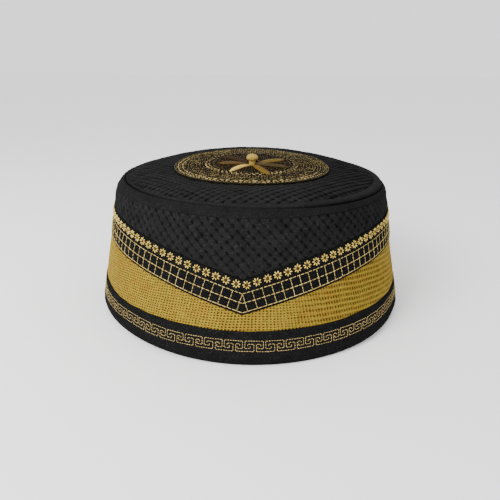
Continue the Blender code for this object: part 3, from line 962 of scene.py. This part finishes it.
def sew(name, lines, thread, slot, length, width, height, cover, unevenness, wander, seed):
    """Sews along guide lines and finishes the piece. Length, width, height and wander are in millimetres."""
    settings = {"Stitch Length": length * MM, "Thread Width": width * MM, "Thread Height": height * MM,
                "Cover": cover, "Unevenness": unevenness, "Wander": wander * MM, "Seed": seed,
                "Thread": thread}
    wear(grow(name, guide_lines(name, lines), stitch_tree, settings), thread, slot)


def rayon(name, pale, deep, roughness):
    """Satin rayon thread: two plies twisted together, a little paler or deeper from stitch to stitch."""
    material, tree, shader = new_finish(name)
    round_thread, along = cloth_coordinates(tree)
    tone = stored_value(tree, "tone")
    twist = calc(tree, "MULTIPLY_ADD", along, 1.5, round_thread)
    plies = ridges(tree, twist, 0.5)
    fibre = ridges(tree, twist, 0.09)
    share = calc(tree, "MULTIPLY_ADD", tone, 0.55, calc(tree, "MULTIPLY", plies, 0.3))
    share = calc(tree, "MULTIPLY_ADD", speckle(tree, 3 * MM), 0.25, share)
    colour = mix(tree, share, (*pale, 1), (*deep, 1))
    relief = calc(tree, "MULTIPLY_ADD", fibre, 0.35, plies)
    dress(tree, shader, colour, relief, strength=0.35, depth=0.06 * MM, roughness=roughness, gloss=0.12)
    return material


cream_thread = rayon("cream_thread", (0.68, 0.53, 0.20), (0.36, 0.25, 0.07), 0.45)
gold_thread = rayon("gold_thread", (0.26, 0.185, 0.045), (0.11, 0.075, 0.018), 0.45)
olive_thread = rayon("olive_thread", (0.10, 0.085, 0.036), (0.042, 0.034, 0.013), 0.5)
brown_thread = rayon("brown_thread", (0.07, 0.04, 0.011), (0.025, 0.014, 0.004), 0.5)

# Key border: a running stitch that draws a meander round the headband, under a line above and over a
# line below that break in turn. Every second cell mirrors the one before. It runs lowest at the front.
KEYS_ROUND = 58
KEY_START = -1.3                # turn of a top bar's left end
KEY_TOP = 13.7 * MM
KEY_FOOT = 8.45 * MM
KEY_CLIMB = 1.4 * MM            # from the front to the sides
KEY_PATHS = (
    ((0.00, 1.00), (0.89, 1.00)),
    ((0.56, 0.00), (1.43, 0.00)),
    ((0.00, 1.00), (0.00, 0.28), (0.26, 0.28), (0.26, 0.52)),
    ((0.43, 0.00), (0.43, 0.70), (0.14, 0.70), (0.14, 0.50)),
    ((0.89, 1.00), (0.89, 0.28), (0.63, 0.28), (0.63, 0.52)),
    ((0.56, 0.00), (0.56, 0.70), (0.76, 0.70), (0.76, 0.50)),
)                               # corners, in periods round and in heights between the two lines
THREAD_LIFT = 0.05 * MM         # of a line of stitches over the cloth


def key_lines():
    """The legs of every key, on the headband's face."""
    period = 360.0 / KEYS_ROUND
    legs = [leg for path in KEY_PATHS for leg in zip(path[:-1], path[1:])]
    lines = []
    for number in range(KEYS_ROUND):
        for start, end in legs:
            share = np.linspace(0, 1, 4)
            turn = KEY_START + period * (number + start[0] + (end[0] - start[0]) * share)
            away = np.abs((turn + 180.0) % 360.0 - 180.0)
            height = KEY_FOOT + (KEY_TOP - KEY_FOOT) * (start[1] + (end[1] - start[1]) * share)
            height = height + KEY_CLIMB * ease(away, 5.0, 75.0)
            outward = HEADBAND_PROUD + band_sway(turn, height) + THREAD_LIFT
            lines.append((on_wall(turn, height, outward), off_wall(turn)))
    return lines


key_thread = rayon("key_thread", (0.56, 0.42, 0.17), (0.25, 0.175, 0.06), 0.5)
sew("key_border", key_lines(), key_thread, "gold_thread", 1.15, 0.33, 0.26, 0.83, 0.16, 0.05, 11)

# Squares on the strip: three gold lines that follow the V, and short lines square to them at even steps,
# which leave two rows of black squares. At each point of the V the last two start together and splay.
CROSS_STEP = 3.0                # degrees from cross line to cross line
CROSS_COUNT = 30                # on each arm of the V
SLOPE_READ = 0.5                # degrees over which the strip's slope is read


def strip_line(turn, rise):
    """Points of a line on the strip, and the directions out of the cloth."""
    turn, rise = np.broadcast_arrays(np.asarray(turn, float), rise)
    points = on_wall(turn, chevron_edge(turn) + rise, strip_surface(turn, rise) + THREAD_LIFT)
    return points, off_wall(turn)


def long_lines(rise):
    """A line that follows the strip all round, broken at the two points and the two peaks of the V."""
    starts = (-180, -90, 0, 90)
    return [strip_line(CHEVRON_TURN + np.linspace(start, start + 90.0, 61), rise) for start in starts]


def cross_lines():
    """The lines across the rows of squares, each square to the strip where it crosses."""
    lines = []
    for arm in (0.0, 180.0):
        for side in (-1.0, 1.0):
            for number in range(CROSS_COUNT + (side > 0)):
                top = CHEVRON_TURN + arm + side * (number * CROSS_STEP)
                ahead = top + side * SLOPE_READ
                radius = wall_radius(chevron_edge(top) + LINE_RISES[1])
                climb = chevron_edge(ahead + side * SLOPE_READ) - chevron_edge(ahead)
                slope = climb / (radius * math.radians(SLOPE_READ)) * side
                fall = LINE_RISES[2] - LINE_RISES[0]
                drift = math.degrees(slope * fall / (1 + slope * slope) / radius)
                share = np.linspace(0, 1, 4)
                turn = top + drift * share
                lines.append(strip_line(turn, LINE_RISES[2] - fall * share))
    return lines


for number, (rise, stitch, cover) in enumerate(zip(LINE_RISES, (2.6, 2.4, 2.1), (1.02, 0.97, 0.88))):
    sew(f"strip_line_{number + 1}", long_lines(rise), cream_thread, "gold_thread", stitch, 0.35, 0.38,
        cover, 0.1, 0.05, 21 + number)
sew("strip_squares", cross_lines(), cream_thread, "gold_thread", 1.6, 0.3, 0.34, 0.97, 0.12, 0.05, 31)

# Florets: a row of little flowers in padded satin stitch above the squares. Each has eight petals round a
# brown heart.
FLORETS_ROUND = 111
FLORET_START = -1.05            # turn of the one nearest to the point of the V
FLORET_RISE = 14.3 * MM
FLORET_PETALS = 8
FLORET_HEART = 0.78 * MM        # half its width, and where the petals start
FLORET_REACH = 2.15 * MM
FLORET_SEED = 5


def floret_places():
    """Middle of each floret, and the directions out of the cloth and to one side there."""
    places = []
    for number in range(FLORETS_ROUND):
        middle, out = strip_line(np.array([FLORET_START + 360.0 / FLORETS_ROUND * number]), FLORET_RISE)
        side = np.cross((0.0, 0.0, 1.0), out[0])
        side /= np.linalg.norm(side)
        places.append((middle[0], out[0], side))
    return places


def floret_lines():
    """A short line for each petal, from the heart of its floret outwards."""
    lines = []
    rng = np.random.default_rng(FLORET_SEED)
    for middle, out, side in floret_places():
        up = np.cross(out, side)
        lean = rng.normal(0.0, 0.12)
        for petal in range(FLORET_PETALS):
            angle = lean + math.tau * (petal + rng.normal(0.0, 0.05)) / FLORET_PETALS
            ray = side * math.cos(angle) + up * math.sin(angle)
            reach = FLORET_REACH * (1 + rng.normal(0.0, 0.05))
            ends = [middle + ray * FLORET_HEART + out * 0.15 * MM, middle + ray * reach]
            lines.append((np.array(ends), np.array((out, out))))
    return lines


def heart_lines():
    """A short line across the middle of each floret."""
    lines = []
    for middle, out, side in floret_places():
        ends = [middle - side * FLORET_HEART, middle + side * FLORET_HEART]
        lines.append((np.array(ends), np.array((out, out))))
    return lines


floret_thread = rayon("floret_thread", (0.82, 0.63, 0.17), (0.36, 0.24, 0.042), 0.45)
sew("florets", floret_lines(), floret_thread, "gold_thread", 5, 0.64, 0.68, 1.0, 0.1, 0.02, 41)
sew("floret_hearts", heart_lines(), brown_thread, "gold_thread", 5, 1.3, 0.3, 1.0, 0.1, 0.02, 42)

# Medallion embroidery: rings of running stitch on the dark ground, two of them pale in front and dull
# behind, a painted sheen and painted shade, a scalloped ring further in, pale in front and dull behind
# likewise, small curls between, and brown stitches in towards the button.
RIM_RADIUS = 47.4 * MM
OLIVE_RADIUS = 39.3 * MM
RING_RADII = (45.3 * MM, 42.6 * MM)
PAINTED_SHEEN_ARC = (-115, 65)         # turns between which both rings are in pale thread, a painted sheen
PAINTED_SHADE_ARC = (110, 200)           # turns between which they are thin and in dull thread, a painted shade
THIN_RADII = (46.4, 44.1, 41.1, 37.8, 36.0, 34.2, 32.4, 30.7, 24.0)    # millimetres
SCALLOPS_ROUND = 54
SCALLOP_RADII = (25.4 * MM, 29.4 * MM)
SPOKES_ROUND = 64
SPOKE_RADII = (24.5 * MM, 5.0 * MM)
CURLS = 300
CURL_RADII = (31.0 * MM, 46.3 * MM)
CURL_LENGTH = 2.4 * MM
CURL_SEED = 7
DISC_LIFT = 0.08 * MM           # of the stitches over the disc
DISC_FLATNESS = 0.75            # of its thread, height to width


def disc_line(turn, radius):
    """Points of a line on the medallion, and the directions out of the cloth."""
    turn, radius = np.broadcast_arrays(np.asarray(turn, float), np.asarray(radius, float))
    flat = around(turn) * radius[..., None]
    return at_top(flat, SEAM_GAP + MEDALLION_CLOTH + DISC_LIFT), upright(np.ones(turn.shape))


def ring_lines(radius, start=-180.0, end=180.0):
    """A ring or a part of one, in four arcs."""
    bounds = np.linspace(start, end, 5)
    return [disc_line(np.linspace(low, high, 40), radius) for low, high in zip(bounds[:-1], bounds[1:])]


def scallop_lines(numbers):
    """The legs of the numbered scallops, out and back in."""
    lines = []
    inner, outer = SCALLOP_RADII
    for number in numbers:
        turns = (np.array((0.0, 0.5, 1.0)) + number) * 360.0 / SCALLOPS_ROUND
        lines.append(disc_line(np.linspace(turns[0], turns[1], 4), np.linspace(inner, outer, 4)))
        lines.append(disc_line(np.linspace(turns[1], turns[2], 4), np.linspace(outer, inner, 4)))
    return lines


def spoke_lines():
    """Straight lines towards the middle."""
    turns = [number * 360.0 / SPOKES_ROUND for number in range(SPOKES_ROUND)]
    return [disc_line(np.full(5, turn), np.linspace(*SPOKE_RADII, 5)) for turn in turns]


def curl_lines():
    """Short curved lines scattered between two rings, each turned its own way."""
    rng = np.random.default_rng(CURL_SEED)
    inner, outer = CURL_RADII
    lines = []
    for _ in range(CURLS):
        turn = rng.uniform(0.0, 360.0)
        radius = math.sqrt(rng.uniform(inner ** 2, outer ** 2))
        heading = rng.uniform(0.0, math.tau)
        bend = rng.choice((-1.0, 1.0)) * rng.uniform(0.6, 1.6)
        angle = heading + bend * np.linspace(-0.5, 0.5, 4)
        step = CURL_LENGTH / 3
        x = radius * math.sin(math.radians(turn)) + np.cumsum(np.cos(angle)) * step
        y = -radius * math.cos(math.radians(turn)) + np.cumsum(np.sin(angle)) * step
        lines.append(disc_line(np.degrees(np.arctan2(x, -y)), np.hypot(x, y)))
    return lines


# Painted sheen and shade: the front arcs of the two rings and the front scallops take the pale thread, the
# same rings and scallops behind take the dull one, with gold thread where they pass between. The thin rings
# all round are in the dull thread as well.
sheen_disc_thread = rayon("sheen_disc_thread", (0.56, 0.43, 0.18), (0.24, 0.165, 0.055), 0.45)
dim_and_shaded_disc_thread = rayon("dim_and_shaded_disc_thread", (0.25, 0.185, 0.08), (0.085, 0.06, 0.024), 0.5)
ring_ends = []
thin_rings = []
for radius in RING_RADII:
    ring_ends += ring_lines(radius, PAINTED_SHEEN_ARC[1], PAINTED_SHADE_ARC[0])
    ring_ends += ring_lines(radius, PAINTED_SHADE_ARC[1] - 360, PAINTED_SHEEN_ARC[0])
    thin_rings += ring_lines(radius, *PAINTED_SHADE_ARC)
for radius in THIN_RADII:
    thin_rings += ring_lines(radius * MM)
outer_ring, pale_ring = (ring_lines(radius, *PAINTED_SHEEN_ARC) for radius in RING_RADII)
DISC_STITCHES = (
    ("rim", ring_lines(RIM_RADIUS), olive_thread, 2.2, 0.5, 0.85, 0.25, 0.08, 51),
    ("outer_ring", outer_ring, sheen_disc_thread, 2.4, 0.62, 0.66, 0.35, 0.2, 52),
    ("pale_ring", pale_ring, sheen_disc_thread, 3.4, 0.52, 0.78, 0.22, 0.1, 58),
    ("olive_ring", ring_lines(OLIVE_RADIUS), olive_thread, 2.4, 0.55, 0.7, 0.3, 0.12, 53),
    ("ring_ends", ring_ends, gold_thread, 2.6, 0.5, 0.7, 0.3, 0.2, 60),
    ("thin_rings", thin_rings, dim_and_shaded_disc_thread, 1.6, 0.38, 0.5, 0.4, 0.22, 54),
    ("scallops", scallop_lines(range(-13, 6)), sheen_disc_thread, 2.0, 0.44, 0.78, 0.35, 0.2, 55),
    ("dull_scallops", scallop_lines(range(6, 41)), dim_and_shaded_disc_thread, 2.0, 0.44, 0.78, 0.35, 0.2, 59),
    ("curls", curl_lines(), gold_thread, 1.2, 0.36, 0.9, 0.35, 0.1, 56),
    ("spokes", spoke_lines(), brown_thread, 2.2, 0.5, 0.7, 0.35, 0.3, 57),
)                               # lines, thread, stitch and width in mm, cover, unevenness, wander, seed
for name, lines, thread, stitch, width, *rest in DISC_STITCHES:
    sew("medallion_" + name, lines, thread, "embroidered_disc", stitch, width, DISC_FLATNESS * width, *rest)

# Petals: seven long leaves of padded satin stitch that lie round the button, their threads running
# slantwise across each leaf. The two that face the front are the palest and the two behind the darkest,
# a painted sheen and painted shade.
PETAL_START = 2.4 * MM
PETAL_SEAT = 0.4 * MM
PETALS = (                      # node, turn, reach, half width, bend as a share of the length, thread
    ("petal_1", -33.5, 23.0 * MM, 1.9 * MM, -0.14, "pale"),
    ("petal_2", 21.5, 27.2 * MM, 2.4 * MM, -0.08, "gold"),
    ("petal_3", 71.5, 23.2 * MM, 2.2 * MM, -0.12, "olive"),
    ("petal_4", 119.5, 23.0 * MM, 2.8 * MM, -0.12, "dull_gold"),
    ("petal_5", 174.0, 22.0 * MM, 2.3 * MM, 0.0, "dark"),
    ("petal_6", 226.0, 24.5 * MM, 2.3 * MM, 0.05, "dark"),
    ("petal_7", 269.0, 20.2 * MM, 2.2 * MM, 0.12, "orange"),
)
LEAF_ALONG = (0.0, 0.15, 0.35, 0.58, 0.78, 0.92, 1.0)
LEAF_WIDTH = (0.30, 0.65, 0.92, 1.0, 0.90, 0.60, 0.20)      # as shares of the half width
LEAF_RISE = np.array((0.5, 0.9, 1.2, 1.3, 1.2, 0.8, 0.4)) * MM
LEAF_ROWS = 190
LEAF_SIDES = 18
LEAF_EASE = 21                  # rows over which the leaf's outline is rounded
SATIN_PITCH = 0.42 * MM


def eased(values):
    """The values with their corners rounded, and their ends kept."""
    padded = np.pad(values, LEAF_EASE // 2, mode="reflect", reflect_type="odd")
    return np.convolve(padded, np.full(LEAF_EASE, 1.0 / LEAF_EASE), mode="valid")


def make_petal(name, turn, reach, widest, bend):
    """A leaf, flat below and crowned above, with the ridges of its satin threads."""
    along = around(np.array(turn))
    across = np.array((-along[1], along[0], 0.0))
    length = reach - PETAL_START
    share = np.linspace(0, 1, LEAF_ROWS)
    half_width = eased(np.interp(share, LEAF_ALONG, LEAF_WIDTH)) * widest
    rise = eased(np.interp(share, LEAF_ALONG, LEAF_RISE))
    angle = np.linspace(0, math.tau, LEAF_SIDES + 1)[:-1]
    side = np.cos(angle)[None] * half_width[:, None]
    up = np.where(np.sin(angle) > 0, np.sin(angle), 0.12 * np.sin(angle))[None] * rise[:, None]
    slant = (share * length)[:, None] + 0.7 * np.abs(side)
    up = up + (np.sin(angle) > 0) * 0.07 * MM * np.sin(slant * math.tau / SATIN_PITCH)
    side = side + (bend * length * share * (1 - share))[:, None]
    axis = np.array((BUTTON_X, BUTTON_Y, 0.0))
    place = axis + along * (PETAL_START + length * share)[:, None, None] + across * side[..., None]
    seat = top_height(place[..., 0], place[..., 1]) + SEAM_GAP + MEDALLION_CLOTH + PETAL_SEAT
    place[..., 2] = seat + up
    uv = np.stack(np.broadcast_arrays(slant / MM, np.abs(side) / MM), axis=-1)
    root = np.broadcast_to(place[0].mean(axis=0), place[0].shape)
    tip = np.broadcast_to(place[-1].mean(axis=0), place[0].shape)
    points = np.concatenate((tip[None], place[::-1], root[None]))
    uv = np.concatenate((uv[-1:], uv[::-1], uv[:1]))
    return skin("satin_" + name, points, closed(uv), False)


def satin(name, pale, deep, roughness):
    """Satin stitch: threads side by side, in the ridges of the piece's UV map, with painted shade in the
    grooves between them.
    """
    material, tree, shader = new_finish(name)
    slant = cloth_coordinates(tree)[0]
    strand = ridges(tree, slant, SATIN_PITCH / MM)
    # Painted shade: paler on each thread's crest, deeper in the groove beside it, as the relief rises and
    # falls.
    share = calc(tree, "MULTIPLY_ADD", strand, -0.9, 0.75)
    share = calc(tree, "MULTIPLY_ADD", speckle(tree, 2 * MM), 0.6, share)
    colour = mix(tree, share, (*pale, 1), (*deep, 1))
    relief = calc(tree, "MULTIPLY_ADD", ridges(tree, slant, SATIN_PITCH / MM / 3), 0.3, strand)
    dress(tree, shader, colour, relief, strength=0.5, depth=0.1 * MM, roughness=roughness, gloss=0.06)
    return material


# Painted sheen and shade: the front petals take the palest satin and the two behind the darkest.
satins = {
    "pale": satin("sheen_satin", (0.60, 0.43, 0.12), (0.40, 0.27, 0.06), 0.42),
    "gold": satin("gold_satin", (0.165, 0.1, 0.015), (0.065, 0.036, 0.006), 0.45),
    "dull_gold": satin("dull_gold_satin", (0.15, 0.096, 0.019), (0.07, 0.042, 0.008), 0.45),
    "olive": satin("olive_satin", (0.06, 0.04, 0.011), (0.025, 0.016, 0.005), 0.5),
    "orange": satin("orange_satin", (0.105, 0.058, 0.012), (0.04, 0.021, 0.005), 0.5),
    "dark": satin("shaded_satin", (0.035, 0.018, 0.005), (0.015, 0.008, 0.0025), 0.5),
}
for node, turn, reach, widest, bend, thread in PETALS:
    wear(make_petal(node, turn, reach, widest, bend), satins[thread], "gold_thread", node)

# Button: a ball knot of gold cord on a short wound neck. It is sewn down through the medallion, and the
# thread draws the crown's middle in a little.
BUTTON_WIDTH = 7.1 * MM
BUTTON_THICKNESS = 4.6 * MM
BUTTON_HEIGHT = 87.1 * MM
NECK_RADIUS = 2.0 * MM
NECK_ROWS = 12
BALL_ROWS = 34
BUTTON_COLUMNS = 60
KNOT_RELIEF = 0.3 * MM
KNOT_STRANDS = 5                # of the knot, counted round the ball
KNOT_TURNS = 6                  # how steeply they climb


def make_button():
    """The neck and the ball in one turned skin, with the strands of the knot raised on it."""
    axis = np.array((BUTTON_X, BUTTON_Y, 0.0))
    seat = float(top_height(BUTTON_X, BUTTON_Y)) + SEAM_GAP + MEDALLION_CLOTH + PETAL_SEAT
    start = math.asin(2 * NECK_RADIUS / BUTTON_WIDTH)
    angle = np.linspace(start, math.pi, BALL_ROWS)
    ball_radius = BUTTON_WIDTH / 2 * np.sin(angle)
    ball_height = BUTTON_HEIGHT - BUTTON_THICKNESS / 2 * np.cos(angle)
    neck_height = np.linspace(seat, ball_height[0], NECK_ROWS)[:-1]
    radius = np.concatenate(([0.0], np.full(NECK_ROWS - 1, NECK_RADIUS), ball_radius))
    height = np.concatenate(([seat], neck_height, ball_height))
    turn = np.linspace(-180, 180, BUTTON_COLUMNS + 1)
    turns = turn[:-1]
    level = np.concatenate((np.zeros(NECK_ROWS), angle))[:, None]
    bend = np.radians(turns)[None]
    rising = 0.5 + 0.5 * np.cos(KNOT_STRANDS * bend + KNOT_TURNS * level)
    falling = 0.5 + 0.5 * np.cos(KNOT_STRANDS * bend - KNOT_TURNS * level)
    relief = np.maximum(rising, falling) ** 0.7 * KNOT_RELIEF - 0.7 * KNOT_RELIEF
    relief[:NECK_ROWS] = 0.12 * MM * np.sin((height[:NECK_ROWS] / (0.5 * MM)) * math.tau)[:, None]
    relief = relief * np.minimum(1.0, radius / NECK_RADIUS)[:, None]
    points = axis + around(turns)[None] * (radius[:, None] + relief)[..., None] + upright(height)[:, None]
    uv = np.stack(np.broadcast_arrays((turn / 9.0)[None], (height / MM)[:, None]), axis=-1)
    return skin("button", points, uv, False)


button_satin = satin("button_satin", (0.44, 0.31, 0.075), (0.24, 0.155, 0.03), 0.45)
wear(make_button(), button_satin, "gold_thread", "knot_button")
